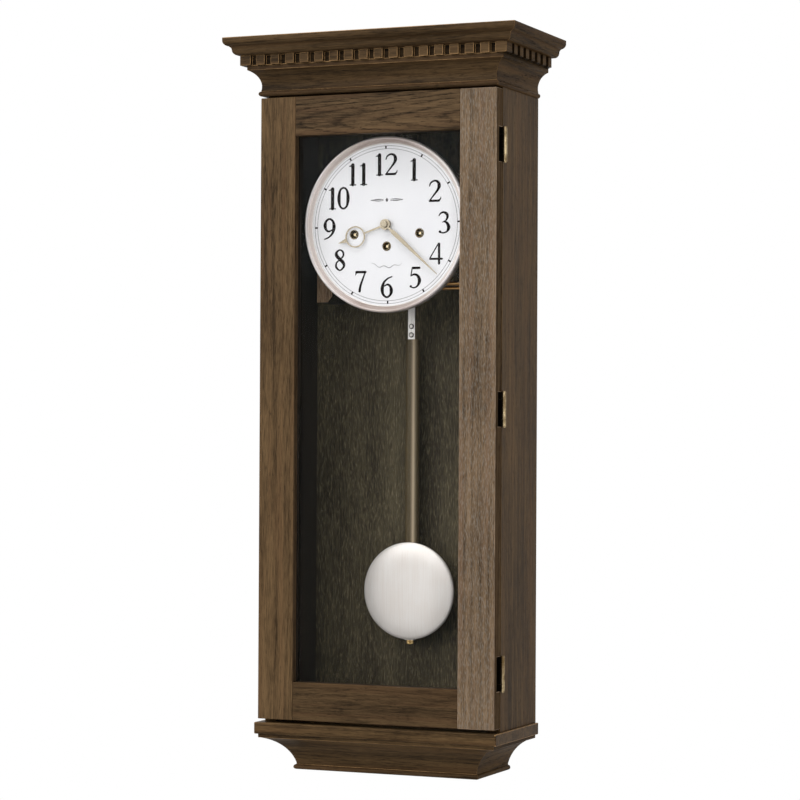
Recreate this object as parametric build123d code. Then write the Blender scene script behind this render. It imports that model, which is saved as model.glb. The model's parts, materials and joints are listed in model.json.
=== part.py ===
from build123d import *
import os
from math import atan2, cos, degrees, pi, radians, sin

# Pendulum wall clock, in millimetres. +Z is up and the front faces -Y.
# The origin is the round hole of the keyhole hanger, on the plane of the wall (y = 0).
# Mouldings are drawn as (p, z): p is how far a point stands proud of the case, z is
# measured from the top or the bottom of the door.

# --- door ---
DOOR_HALF_WIDTH = 154.15
DOOR_HEIGHT = 756.0
DOOR_TOP = 30.0
DOOR_BOTTOM = DOOR_TOP - DOOR_HEIGHT
DOOR_MID = (DOOR_TOP + DOOR_BOTTOM) / 2
DOOR_FRONT = -141.0
DOOR_BACK = -122.0
STILE = 46.5
RAIL_TOP = 48.0
RAIL_BOTTOM = 46.0
REBATE = 7.0
GLASS_THICK = 3.0
GLASS_FRONT = -131.0
GLASS_GAP = 0.5

# --- case ---
CASE_FRONT = -121.0
SIDE_THICK = 16.0
SIDE_INNER = DOOR_HALF_WIDTH - SIDE_THICK
MOULDING_INSET = 6.0
INNER_EDGE = DOOR_HALF_WIDTH - MOULDING_INSET
BACK_REAR = -2.0
BACK_FRONT = -9.0
CROWN_LOW = DOOR_TOP + 2.3
CROWN_HIGH = DOOR_TOP + 71.6
CROWN_BOARD_LOW = CROWN_HIGH - 12.0
BASE_TOP = DOOR_BOTTOM - 4.2
BASE_LOW = DOOR_BOTTOM - 18.3
BASE_PROUD = 3.6
RAIL_LOW = -4.0

# --- dentils ---
DENTIL_PITCH = 19.48
DENTIL_WIDTH = 11.4
DENTIL_LOW = DOOR_TOP + 38.3
DENTIL_HIGH = DOOR_TOP + 50.6
DENTIL_BACK = 14.5
DENTIL_PROUD = 19.5
CORNER_DENTIL_FRONT = 14.5
CORNER_DENTIL_SIDE = 18.5

# --- hanger ---
HANGER_HOLE = 5.0
HANGER_SLOT = 2.6
HANGER_RISE = 10.0

# --- dial, hands and movement, from the hand axis ---
HAND_Z = DOOR_MID + 222.0
DIAL_FRONT = -109.0
DIAL_BACK = -108.0
DIAL_RADIUS = 105.3
BEZEL_OUTER = 106.4
BEZEL_INNER = 97.9
BEZEL_FRONT = -116.8
BEZEL_BACK = -105.5
WINDING_SIDE = (43.0, -11.0)
WINDING_CENTRE = (0.0, -26.0)
WINDING_HOLE = 4.4
ARBOR_TIP = -107.2
HOUR_HAND_Y = (-112.3, -111.4)
MINUTE_HAND_Y = (-115.2, -114.2)
NUT_FRONT = -117.6
CENTRE_TIP = -117.0
FRONT_PLATE = (-98.0, -95.5)
BACK_PLATE = (-64.5, -62.0)
PLATE_HALF_WIDTH = 70.0
PLATE_TOP = 64.0
PLATE_BOTTOM = -56.0
STRAP = (-62.0, -60.0)
ARM_FRONT = -60.0
ARM_INNER = 94.5
ARM_OUTER = 115.5
ARM_LOW = DOOR_MID + 131.6
ARM_HIGH = DOOR_MID + 268.0
MINUTE_ANGLE = 132.0
HOUR_ANGLE = 251.0
RUNNING = 0.06

# --- wheel train: (x, z) from the hand axis, then teeth and module ---
SUSPENSION = (0.0, 42.0)
THIRD_ARBOR = (-12.0, 18.06)
ESCAPE_ARBOR = (0.0, 28.64)
MINUTE_POST = (-8.485, 8.485)
HAMMER_ARBOR = (-40.0, -46.0)
BARREL_MODULE = 0.4815
ESCAPE_MODULE = 0.4
MOTION_MODULE = 0.5
HOUR_MODULE = 0.48
PIVOT = 1.2
ARBOR = 1.5
BARREL_RADIUS = 19.5
WINDING_ARBOR = 2.5

# --- pendulum ---
LEADER_FRONT = -31.0
LEADER_BACK = -29.8
LEADER_HALF_WIDTH = 4.5
STICK_TOP = DOOR_MID + 86.0
STICK_BOTTOM = DOOR_MID - 262.0
STICK_HALF_WIDTH = 8.75
STICK_FRONT = -33.0
STICK_BACK = -24.0
ROD_Y = -30.5
ROD_RADIUS = 1.5
ROD_LOW = DOOR_MID - 290.0
BOB_RADIUS = 59.7
BOB_Z = DOOR_MID - 224.2
BOB_BACK = -34.0
BOB_RIM = -36.0
BOB_APEX = -41.0
NUT_RADIUS = 4.15
NUT_HIGH = DOOR_MID - 284.8
NUT_LOW = DOOR_MID - 289.1

# --- hinges ---
HINGE_X = 157.2
HINGE_HEIGHTS = (DOOR_MID + 312.0, DOOR_MID - 1.0, DOOR_MID - 313.0)
HINGE_TALL = 41.0
KNUCKLE_MIDDLE = 24.0
KNUCKLE_GAP = 0.3
BARREL = 2.4
HINGE_PIN = 1.0
LEAF = 1.0
HINGE_NOTCH = (-133.0, 3.0)

# --- chime ---
ROD_YS = (-91.2, -85.2, -79.2, -73.2, -67.2)
ROD_ROWS = (HAND_Z - 71.0, HAND_Z - 76.5)
CHIME_ROD = 1.6
CHIME_BLOCK = (-78.0, -66.0)


def block(x, y, z):
    """A rectangular block from three (low, high) pairs."""
    middle = Pos(sum(x) / 2, sum(y) / 2, sum(z) / 2)
    return middle * Box(x[1] - x[0], y[1] - y[0], z[1] - z[0])


def round_y(radius, x, z, y):
    """A cylinder along Y between the two values of y."""
    return Pos(x, sum(y) / 2, z) * Cylinder(radius, y[1] - y[0], rotation=(90, 0, 0))


def round_x(radius, y, z, x):
    """A cylinder along X between the two values of x."""
    return Pos(sum(x) / 2, y, z) * Cylinder(radius, x[1] - x[0], rotation=(0, 90, 0))


def round_z(radius, x, y, z):
    """A cylinder along Z between the two values of z."""
    return Pos(x, y, sum(z) / 2) * Cylinder(radius, z[1] - z[0])


def front_plate_shape(outline, x, z, y):
    """A sketch drawn as seen from the front, given a thickness along Y."""
    return Pos(x, y[1], z) * extrude(Plane.XZ * outline, y[1] - y[0])


def mirrored(shape):
    """The same shape on the other side of the clock."""
    return mirror(shape, Plane.YZ)


def union(first, *others):
    """One solid from shapes that touch or overlap."""
    whole = first
    for other in others:
        whole = whole + other
    return whole


def group(*shapes):
    """Separate solids kept in one node."""
    return Compound(children=[solid for shape in shapes for solid in shape.solids()])


# --- mouldings -------------------------------------------------------------------

REACH = 60.0


def side_run(outline, z):
    """A moulding along the right-hand side, from the wall to past the front corner."""
    long = REACH - DOOR_FRONT
    return Pos(DOOR_HALF_WIDTH, 0, z) * extrude(Plane.XZ * outline, long)


def front_run(outline, z):
    """A moulding along the front, past both corners."""
    half = DOOR_HALF_WIDTH + REACH
    run = Rot(0, 0, -90) * extrude(Plane.XZ * outline, 2 * half)
    return Pos(half, DOOR_FRONT, z) * run


def prism(points):
    """A tall prism over a triangle in plan, used to cut the mitres."""
    tall = 4 * DOOR_HEIGHT
    return Pos(0, 0, -tall / 2) * extrude(make_face(Polyline(*points, close=True)), tall)


def mitred(front, side):
    """Cuts a front run and a side run at the 45 degree mitre. Returns the front, both sides."""
    far = DOOR_HALF_WIDTH + REACH
    front_y = DOOR_FRONT - REACH
    behind = DOOR_FRONT + DOOR_HALF_WIDTH
    front_zone = prism([(-far, front_y), (far, front_y), (0, behind)])
    side_zone = prism([(far, front_y), (far, 0), (behind, 0)])
    right = side & side_zone
    return front & front_zone, group(mirrored(right), right)


def crown_cap_outline():
    inner = (-MOULDING_INSET, 50.6)
    top = (-MOULDING_INSET, 71.6)
    edges = [
        Line(inner, (21.5, 50.6)),
        ThreePointArc((21.5, 50.6), (25.2, 52.4), (27.0, 56.5)),
        ThreePointArc((27.0, 56.5), (28.2, 59.8), (31.0, 61.4)),
        ThreePointArc((31.0, 61.4), (34.4, 63.6), (35.8, 67.5)),
        Line((35.8, 67.5), (35.8, 71.1)),
        Line((35.8, 71.1), (35.3, 71.6)),
        Line((35.3, 71.6), top),
        Line(top, inner),
    ]
    return make_face(edges)


def crown_cove_outline():
    inner = (-MOULDING_INSET, 2.3)
    top = (-MOULDING_INSET, 38.3)
    edges = [
        Line(inner, (0.0, 2.3)),
        ThreePointArc((0.0, 2.3), (2.6, 5.3), (0.0, 8.3)),
        Line((0.0, 8.3), (0.0, 9.5)),
        ThreePointArc((0.0, 9.5), (1.9, 24.0), (13.0, 33.4)),
        Line((13.0, 33.4), (13.0, 38.3)),
        Line((13.0, 38.3), top),
        Line(top, inner),
    ]
    return make_face(edges)


def base_moulding_outline():
    inner = (-45.0, -18.3)
    low = (-45.0, -63.5)
    edges = [
        Line(inner, (-0.3, -18.3)),
        Line((-0.3, -18.3), (-0.3, -23.0)),
        Line((-0.3, -23.0), (-1.5, -23.0)),
        ThreePointArc((-1.5, -23.0), (-21.5, -33.2), (-35.5, -55.5)),
        Line((-35.5, -55.5), (-35.5, -57.5)),
        ThreePointArc((-35.5, -57.5), (-32.6, -60.5), (-35.5, -63.5)),
        Line((-35.5, -63.5), low),
        Line(low, inner),
    ]
    return make_face(edges)


def dentil_strips():
    """A backing strip with proud blocks, 16 across the front and 7 on each side, and corners."""
    height = DENTIL_HIGH - DENTIL_LOW
    depth = DENTIL_BACK + MOULDING_INSET
    mid = (DENTIL_BACK - MOULDING_INSET) / 2
    backing = Pos(mid, height / 2) * Rectangle(depth, height)
    front = front_run(backing, DENTIL_LOW)
    side = side_run(backing, DENTIL_LOW)
    z = (DENTIL_LOW, DENTIL_HIGH)
    y = (DOOR_FRONT - DENTIL_PROUD, DOOR_FRONT - DENTIL_BACK)
    x = (DOOR_HALF_WIDTH + DENTIL_BACK, DOOR_HALF_WIDTH + DENTIL_PROUD)
    for step in range(16):
        centre = (step - 7.5) * DENTIL_PITCH
        front = front + block((centre - DENTIL_WIDTH / 2, centre + DENTIL_WIDTH / 2), y, z)
    corner = block((x[1] - CORNER_DENTIL_FRONT, x[1]), y, z)
    front = front + corner + mirrored(corner)
    side = side + block(x, (y[0], y[0] + CORNER_DENTIL_SIDE), z)
    for step in range(7):
        rear = -(step + 0.35) * DENTIL_PITCH
        side = side + block(x, (rear - DENTIL_WIDTH, rear), z)
    return mitred(front, side)


def moulding(outline, z):
    """Front and side runs of one moulding."""
    return mitred(front_run(outline, z), side_run(outline, z))


# --- case ------------------------------------------------------------------------


def side_panel_right():
    """Side board, thinned behind the crown, with mortises for the case leaves in its front edge."""
    side = block((SIDE_INNER, DOOR_HALF_WIDTH), (CASE_FRONT, 0), (BASE_TOP, CROWN_BOARD_LOW))
    side = side - block((INNER_EDGE, DOOR_HALF_WIDTH), (CASE_FRONT, 0), (CROWN_LOW, CROWN_BOARD_LOW))
    for height in HINGE_HEIGHTS:
        side = side - case_leaf_space(height)
    return side


def side_panel_left():
    side = block((SIDE_INNER, DOOR_HALF_WIDTH), (CASE_FRONT, 0), (BASE_TOP, CROWN_BOARD_LOW))
    side = side - block((INNER_EDGE, DOOR_HALF_WIDTH), (CASE_FRONT, 0), (CROWN_LOW, CROWN_BOARD_LOW))
    return mirrored(side)


def back_panel():
    """Thin back with a pocket behind the hanger for the head of the wall screw."""
    panel = block((-SIDE_INNER, SIDE_INNER), (BACK_REAR - 7, BACK_REAR), (BASE_TOP, CROWN_BOARD_LOW))
    pocket = round_y(9, 0, 0, (-7, BACK_REAR))
    slot = block((-9, 9), (-7, BACK_REAR), (0, HANGER_RISE + 2))
    return panel - pocket - slot


def hanger_plate():
    """Steel keyhole plate, flush with the wall plane."""
    plate = block((-22, 22), (BACK_REAR, 0), (-14, 28))
    plate = fillet(plate.edges().filter_by(Axis.Y), 4)
    plate = plate - round_y(HANGER_HOLE, 0, 0, (BACK_REAR, 0))
    plate = plate - block((-HANGER_SLOT, HANGER_SLOT), (BACK_REAR, 0), (0, HANGER_RISE))
    plate = plate - round_y(HANGER_SLOT, 0, HANGER_RISE, (BACK_REAR, 0))
    return plate


def base_board():
    board = block(
        (-DOOR_HALF_WIDTH - BASE_PROUD, DOOR_HALF_WIDTH + BASE_PROUD),
        (DOOR_FRONT - BASE_PROUD, 0),
        (BASE_LOW, BASE_TOP),
    )
    front = board.faces().sort_by(Axis.Y)[0]
    return fillet(front.edges(), 1.5)


def movement_arms():
    """Two upright wooden blocks on the back panel, with the lower inner corner cut off."""
    arm = block((ARM_INNER, ARM_OUTER), (ARM_FRONT, BACK_FRONT), (ARM_LOW, ARM_HIGH))
    corner = [(ARM_INNER, ARM_LOW), (ARM_INNER + 6, ARM_LOW), (ARM_INNER, ARM_LOW + 7.5)]
    cut = front_plate_shape(make_face(Polyline(*corner, close=True)), 0, 0, (ARM_FRONT, BACK_FRONT))
    arm = arm - cut
    return group(mirrored(arm), arm)


# --- door ------------------------------------------------------------------------

OPENING_HALF = DOOR_HALF_WIDTH - STILE
OPENING_TOP = DOOR_TOP - RAIL_TOP
OPENING_BOTTOM = DOOR_BOTTOM + RAIL_BOTTOM
REBATE_HALF = OPENING_HALF + REBATE
REBATE_TOP = OPENING_TOP + REBATE
REBATE_BOTTOM = OPENING_BOTTOM - REBATE


def glass_rebate():
    """The space that the glass and its strips take out of the back of the door."""
    return block((-REBATE_HALF, REBATE_HALF), (GLASS_FRONT, DOOR_BACK), (REBATE_BOTTOM, REBATE_TOP))


def door_stile_right():
    stile = block((OPENING_HALF, DOOR_HALF_WIDTH), (DOOR_FRONT, DOOR_BACK), (DOOR_BOTTOM, DOOR_TOP))
    stile = stile - glass_rebate()
    notch_y, notch_deep = HINGE_NOTCH
    for height in HINGE_HEIGHTS:
        z = (height - HINGE_TALL / 2, height + HINGE_TALL / 2)
        stile = stile - block((DOOR_HALF_WIDTH - notch_deep, DOOR_HALF_WIDTH), (notch_y, DOOR_BACK), z)
    return stile


def door_stile_left():
    stile = block((OPENING_HALF, DOOR_HALF_WIDTH), (DOOR_FRONT, DOOR_BACK), (DOOR_BOTTOM, DOOR_TOP))
    return mirrored(stile - glass_rebate())


def door_rail(low, high):
    rail = block((-OPENING_HALF, OPENING_HALF), (DOOR_FRONT, DOOR_BACK), (low, high))
    return rail - glass_rebate()


def door_glass():
    half = REBATE_HALF - GLASS_GAP
    z = (REBATE_BOTTOM + GLASS_GAP, REBATE_TOP - GLASS_GAP)
    return block((-half, half), (GLASS_FRONT, GLASS_FRONT + GLASS_THICK), z)


def glass_retainers():
    """Four strips that hold the glass in its rebate."""
    y = (GLASS_FRONT + GLASS_THICK, DOOR_BACK)
    upright = block((OPENING_HALF, REBATE_HALF), y, (REBATE_BOTTOM, REBATE_TOP))
    top = block((-OPENING_HALF, OPENING_HALF), y, (OPENING_TOP, REBATE_TOP))
    bottom = block((-OPENING_HALF, OPENING_HALF), y, (REBATE_BOTTOM, OPENING_BOTTOM))
    return group(mirrored(upright), upright, top, bottom)


def knuckle(z, bore):
    ring = round_z(BARREL, HINGE_X, CASE_FRONT, z)
    return ring - round_z(bore, HINGE_X, CASE_FRONT, z)


def case_leaf_space(height):
    """Where a case leaf is let into the front edge of the side board."""
    z = (height - HINGE_TALL / 2, height + HINGE_TALL / 2)
    return block((SIDE_INNER + 3, DOOR_HALF_WIDTH), (CASE_FRONT, CASE_FRONT + LEAF), z)


def hinge_case_leaves():
    """The fixed leaves, each with the middle knuckle."""
    leaves = []
    for height in HINGE_HEIGHTS:
        z = (height - KNUCKLE_MIDDLE / 2, height + KNUCKLE_MIDDLE / 2)
        tie = block((DOOR_HALF_WIDTH, HINGE_X), (CASE_FRONT, CASE_FRONT + LEAF), z)
        tie = tie - round_z(HINGE_PIN, HINGE_X, CASE_FRONT, z)
        leaves.append(union(case_leaf_space(height), tie, knuckle(z, HINGE_PIN)))
    return group(*leaves)


def hinge_door_leaves():
    """The swinging leaves, let into notches in the edge of the stile, each with two end knuckles."""
    leaves = []
    notch_y, notch_deep = HINGE_NOTCH
    floor = DOOR_HALF_WIDTH - notch_deep
    bore = HINGE_PIN + RUNNING
    for height in HINGE_HEIGHTS:
        z = (height - HINGE_TALL / 2, height + HINGE_TALL / 2)
        leaf = block((floor, floor + LEAF), (notch_y, DOOR_BACK), z)
        inner = KNUCKLE_MIDDLE / 2 + KNUCKLE_GAP
        for end in ((z[0], height - inner), (height + inner, z[1])):
            tie = block((floor, HINGE_X), (DOOR_BACK - LEAF, DOOR_BACK), end)
            tie = tie - round_z(bore, HINGE_X, CASE_FRONT, end)
            leaf = union(leaf, tie, knuckle(end, bore))
        leaves.append(leaf)
    return group(*leaves)


def hinge_pins():
    """One pin for each hinge, with a small rounded head at each end."""
    pins = []
    for height in HINGE_HEIGHTS:
        half = HINGE_TALL / 2
        pin = round_z(HINGE_PIN, HINGE_X, CASE_FRONT, (height - half - 0.6, height + half + 0.6))
        for end, way in ((height + half + 0.2, 1), (height - half - 0.2, -1)):
            z = sorted((end, end + way * 0.9))
            pin = pin + round_z(BARREL - 0.4, HINGE_X, CASE_FRONT, z)
        pins.append(pin)
    return group(*pins)


# --- wheels ----------------------------------------------------------------------


def gear_outline(teeth, module, phase=0.0):
    """Slim straight-sided teeth with backlash. The first tooth points at the phase angle."""
    pitch_radius = teeth * module / 2
    root = pitch_radius - module
    tip = pitch_radius + 0.7 * module
    pitch = 2 * pi / teeth
    points = []
    for tooth in range(teeth):
        middle = radians(phase) + tooth * pitch
        for radius, part in ((root, -0.22), (tip, -0.10), (tip, 0.10), (root, 0.22)):
            angle = middle + part * pitch
            points.append((radius * cos(angle), radius * sin(angle)))
    return make_face(Polyline(*points, close=True))


def mesh_phases(first, second, teeth):
    """Phase of a tooth pointing at the second wheel, and of the gap that it enters."""
    towards = degrees(atan2(second[1] - first[1], second[0] - first[0]))
    return towards, towards + 180 + 180 / teeth


def wheel(place, teeth, module, phase, y):
    return front_plate_shape(gear_outline(teeth, module, phase), place[0], HAND_Z + place[1], y)


def pin(radius, place, y):
    """A cylinder along Y at a place given from the hand axis."""
    return round_y(radius, place[0], HAND_Z + place[1], y)


CENTRE = (0.0, 0.0)


def centre_wheel():
    """Centre arbor with its pinion and wheel, and the cannon pinion that carries the minute hand."""
    to_barrel, _ = mesh_phases(CENTRE, WINDING_CENTRE, 96)
    to_third, _ = mesh_phases(CENTRE, THIRD_ARBOR, 10)
    to_post, _ = mesh_phases(CENTRE, MINUTE_POST, 36)
    arbor = pin(ARBOR, CENTRE, (CENTRE_TIP, -62.0))
    cannon = pin(2.2, CENTRE, (MINUTE_HAND_Y[1], FRONT_PLATE[0] - 0.3))
    pinion = wheel(CENTRE, 12, BARREL_MODULE, to_barrel, (-89.5, -86.5))
    great = wheel(CENTRE, 80, BARREL_MODULE, to_third, (-67.0, -65.5))
    drive = wheel(CENTRE, 12, MOTION_MODULE, to_post, (-101.5, -99.0))
    return union(arbor, cannon, pinion, great, drive)


def minute_wheel():
    """Wheel and pinion that turn on the post of the front plate, between cannon and hour wheel."""
    _, gap = mesh_phases(CENTRE, MINUTE_POST, 36)
    to_hour, _ = mesh_phases(MINUTE_POST, CENTRE, 40)
    body = wheel(MINUTE_POST, 36, MOTION_MODULE, gap, (-101.3, -99.8))
    body = body + wheel(MINUTE_POST, 10, HOUR_MODULE, to_hour, (-104.3, -101.3))
    return body - pin(PIVOT + RUNNING, MINUTE_POST, (-104.3, -99.8))


def hour_wheel():
    """Hour wheel on its pipe, which runs on the cannon pinion."""
    _, gap = mesh_phases(MINUTE_POST, CENTRE, 40)
    body = wheel(CENTRE, 40, HOUR_MODULE, gap, (-104.0, -102.5))
    pipe = (HOUR_HAND_Y[0] - 0.1, -102.5)
    return body + pin(3.4, CENTRE, pipe) - pin(2.2 + RUNNING, CENTRE, pipe)


def third_wheel():
    _, gap = mesh_phases(CENTRE, THIRD_ARBOR, 10)
    to_escape, _ = mesh_phases(THIRD_ARBOR, ESCAPE_ARBOR, 8)
    arbor = pin(PIVOT, THIRD_ARBOR, (FRONT_PLATE[0], BACK_PLATE[1]))
    pinion = wheel(THIRD_ARBOR, 10, BARREL_MODULE, gap, (-68.0, -65.0))
    rim = wheel(THIRD_ARBOR, 72, ESCAPE_MODULE, to_escape, (-76.0, -74.5))
    return union(arbor, pinion, rim)


def escape_outline(teeth=36, tip=9.5, root=8.0):
    """Pointed teeth that all lean the same way."""
    points = []
    for tooth in range(teeth):
        start = tooth * 2 * pi / teeth
        lean = start + 0.55 * 2 * pi / teeth
        points.append((root * cos(start), root * sin(start)))
        points.append((tip * cos(lean), tip * sin(lean)))
    return make_face(Polyline(*points, close=True))


def escape_wheel():
    _, gap = mesh_phases(THIRD_ARBOR, ESCAPE_ARBOR, 8)
    arbor = pin(0.8, ESCAPE_ARBOR, (FRONT_PLATE[0], BACK_PLATE[1]))
    pinion = wheel(ESCAPE_ARBOR, 8, ESCAPE_MODULE, gap, (-77.0, -73.5))
    place = (ESCAPE_ARBOR[0], HAND_Z + ESCAPE_ARBOR[1])
    rim = front_plate_shape(escape_outline(), *place, (-84.0, -82.8))
    return union(arbor, pinion, rim)


def barrel(place, great_y, phase):
    """A hollow mainspring barrel with its great wheel, bored for the winding arbor."""
    drum = pin(BARREL_RADIUS, place, (-87.0, -70.0)) - pin(BARREL_RADIUS - 1, place, (-86.0, -71.0))
    whole = drum + wheel(place, 96, BARREL_MODULE, phase, great_y)
    return whole - pin(WINDING_ARBOR + RUNNING, place, (-90.0, -67.0))


def time_barrel():
    _, gap = mesh_phases(CENTRE, WINDING_CENTRE, 96)
    return barrel(WINDING_CENTRE, (-89.0, -87.0), gap)


def chime_barrels():
    """The strike and chime barrels, which stand still between strikes."""
    left = (-WINDING_SIDE[0], WINDING_SIDE[1])
    return group(barrel(left, (-70.0, -68.0), 0), barrel(WINDING_SIDE, (-70.0, -68.0), 0))


def winding_arbor(place):
    """Arbor with the spring's core, a rear pivot and the square that takes the key."""
    body = pin(WINDING_ARBOR, place, (-104.0, BACK_PLATE[0] - 0.7))
    core = pin(6.0, place, (-84.0, -73.0))
    pivot = pin(ARBOR, place, (BACK_PLATE[0] - 0.7, BACK_PLATE[1]))
    x, z = place[0], HAND_Z + place[1]
    square = block((x - 1.6, x + 1.6), (ARBOR_TIP, -104.0), (z - 1.6, z + 1.6))
    return union(body, core, pivot, square)


WINDING_PLACES = ((-WINDING_SIDE[0], WINDING_SIDE[1]), WINDING_CENTRE, WINDING_SIDE)


def arbor_holes(plate, y, winding_radius):
    """Bores a movement plate for every arbor."""
    bores = [(PIVOT, THIRD_ARBOR), (0.8, ESCAPE_ARBOR), (PIVOT, SUSPENSION)]
    bores += [(PIVOT, HAMMER_ARBOR), (ARBOR, CENTRE)]
    bores += [(winding_radius, place) for place in WINDING_PLACES]
    for radius, place in bores:
        plate = plate - pin(radius + RUNNING, place, y)
    return plate


def movement_plate(y):
    x = (-PLATE_HALF_WIDTH, PLATE_HALF_WIDTH)
    plate = block(x, y, (HAND_Z + PLATE_BOTTOM, HAND_Z + PLATE_TOP))
    return fillet(plate.edges().filter_by(Axis.Y), 6)


def movement_front_plate():
    plate = arbor_holes(movement_plate(FRONT_PLATE), FRONT_PLATE, WINDING_ARBOR)
    return plate + pin(PIVOT, MINUTE_POST, (-105.0, FRONT_PLATE[0]))


def movement_back_plate():
    return arbor_holes(movement_plate(BACK_PLATE), BACK_PLATE, ARBOR)


def movement_pillars():
    """Pillars between the plates, and the feet that carry the dial in front of them."""
    corners = [(x, z) for x in (-62, 62) for z in (-48, 56)]
    pillars = [pin(4, corner, (FRONT_PLATE[1], BACK_PLATE[0])) for corner in corners]
    feet = [pin(3, (x, z), (DIAL_BACK, FRONT_PLATE[0])) for x in (-50, 50) for z in (-44, 44)]
    return group(*pillars, *feet)


def movement_straps():
    """Two steel straps that screw the movement to its wooden arms."""
    bars = []
    for low in (22.0, -48.0):
        bars.append(block((-ARM_OUTER, ARM_OUTER), STRAP, (HAND_Z + low, HAND_Z + low + 10)))
    return group(*bars)


# --- dial and hands --------------------------------------------------------------


def dial_plate():
    plate = pin(DIAL_RADIUS, CENTRE, (DIAL_FRONT, DIAL_BACK))
    plate = plate - pin(5.0, CENTRE, (DIAL_FRONT, DIAL_BACK))
    for place in WINDING_PLACES:
        plate = plate - pin(WINDING_HOLE, place, (DIAL_FRONT, DIAL_BACK))
    return plate


def dial_bezel():
    """Ring that grips the edge of the dial, with a rolled rim and a slope down to the dial."""
    outline = [
        (BEZEL_OUTER, BEZEL_BACK),
        (BEZEL_OUTER, BEZEL_FRONT + 2.2),
        (105.8, BEZEL_FRONT + 0.8),
        (104.4, BEZEL_FRONT),
        (103.0, BEZEL_FRONT + 0.5),
        (98.6, DIAL_FRONT - 1.4),
        (BEZEL_INNER, DIAL_FRONT),
        (DIAL_RADIUS, DIAL_FRONT),
        (DIAL_RADIUS, BEZEL_BACK),
    ]
    face = make_face(Polyline(*[(radius, -y) for radius, y in outline], close=True))
    ring = revolve(face, Axis.Y)
    return Pos(0, 0, HAND_Z) * (Rot(180, 0, 0) * ring)


def hand_outline(stations):
    """A symmetrical blade along +Y from (distance, half width) stations."""
    right = [(half, along) for along, half in stations]
    left = [(-half, along) for along, half in reversed(stations)]
    return make_face(Polyline(*right, *left, close=True))


def hand(outline, clockwise, y):
    """Turns a hand drawn at 12 o'clock to its angle and gives it a thickness."""
    return front_plate_shape(Rot(0, 0, -clockwise) * outline, 0, HAND_Z, y)


def minute_hand():
    blade = hand_outline([(5.0, 1.1), (9.0, 1.1), (14.0, 2.5), (20.0, 2.6), (55.0, 1.6), (91.5, 0.4)])
    outline = blade + Circle(6.5) - Circle(ARBOR)
    return hand(outline, MINUTE_ANGLE, MINUTE_HAND_Y)


def hour_hand():
    ring = Pos(0, 42.8) * (Circle(13.0) - Circle(11.4))
    neck = hand_outline([(5.0, 1.1), (31.0, 0.9)])
    pointer = hand_outline([(54.8, 2.4), (56.4, 2.3), (66.0, 0.3)])
    outline = neck + Circle(6.5) + ring + pointer - Circle(3.4)
    return hand(outline, HOUR_ANGLE, HOUR_HAND_Y)


def hand_nut():
    """Small round nut with a crowned face on the front of the centre arbor."""
    depth = (NUT_FRONT, MINUTE_HAND_Y[0])
    nut = pin(4.0, CENTRE, depth)
    nut = fillet(nut.edges().sort_by(Axis.Y)[0], 1.2)
    return nut - pin(ARBOR, CENTRE, depth) + pin(ARBOR, CENTRE, (NUT_FRONT, CENTRE_TIP))


# --- pendulum --------------------------------------------------------------------


def suspension_post():
    """Brass cock on the back plate, with a slotted cheek that holds the suspension spring."""
    foot = block((-10, 10), (BACK_PLATE[1], BACK_PLATE[1] + 2), (HAND_Z + 48, HAND_Z + 62))
    bar = block((-6, 6), (BACK_PLATE[1], -24), (HAND_Z + 54, HAND_Z + 60))
    cheek = block((-3, 3), (-32, -24), (HAND_Z + 47, HAND_Z + 54))
    slot = block((-0.9, 0.9), (-32, -24), (HAND_Z + 47, HAND_Z + 51.5))
    return union(foot, bar, cheek) - slot


def suspension_spring():
    """Thin steel strip with a brass chop at its lower end, hooked to the leader."""
    strip = block((-0.15, 0.15), (-31, -25), (HAND_Z + 34, HAND_Z + 50.5))
    chop = block((-2.5, 2.5), (-32, -24), (HAND_Z + 30, HAND_Z + 35))
    return strip + chop


SCREW_HEIGHTS = (DOOR_MID + 102.0, DOOR_MID + 91.4)
CRUTCH_Z = -20.0


def pendulum_leader():
    """Flat metal strip between the suspension and the stick, with a slot for the crutch pin."""
    x = (-LEADER_HALF_WIDTH, LEADER_HALF_WIDTH)
    strip = block(x, (LEADER_FRONT, LEADER_BACK), (STICK_TOP, HAND_Z + 30))
    y = (LEADER_FRONT, LEADER_BACK)
    for height in SCREW_HEIGHTS:
        strip = strip - round_y(1.2, 0, height, y)
    slot = block((-1.3, 1.3), y, (HAND_Z + CRUTCH_Z - 5, HAND_Z + CRUTCH_Z + 5))
    return strip - slot


def leader_screws():
    """Two slotted round-head screws through the leader into the stick's tongue."""
    screws = []
    for height in SCREW_HEIGHTS:
        head = round_y(2.7, 0, height, (LEADER_FRONT - 1.3, LEADER_FRONT))
        head = fillet(head.edges().sort_by(Axis.Y)[0], 0.6)
        slot_y = (LEADER_FRONT - 1.3, LEADER_FRONT - 0.8)
        head = head - block((-2.7, 2.7), slot_y, (height - 0.35, height + 0.35))
        screws.append(head + round_y(1.2, 0, height, (LEADER_FRONT, LEADER_BACK + 3.5)))
    return group(*screws)


def pendulum_stick():
    """Wooden stick with a rounded front, a thin tongue at the top and a bore for the rating rod."""
    x = (-STICK_HALF_WIDTH, STICK_HALF_WIDTH)
    stick = block(x, (STICK_FRONT, STICK_BACK), (STICK_BOTTOM, STICK_TOP))
    front = stick.edges().filter_by(Axis.Z).sort_by(Axis.Y)[:2]
    stick = fillet(front, 6.5)
    stick = stick + block((-4, 4), (LEADER_BACK, LEADER_BACK + 4), (STICK_TOP - 5, STICK_TOP + 24))
    for height in SCREW_HEIGHTS:
        stick = stick - round_y(1.2, 0, height, (LEADER_BACK, LEADER_BACK + 3.5))
    return stick - round_z(ROD_RADIUS, 0, ROD_Y, (STICK_BOTTOM, STICK_BOTTOM + 20))


def rating_rod():
    return round_z(ROD_RADIUS, 0, ROD_Y, (ROD_LOW, STICK_BOTTOM + 20))


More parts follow.
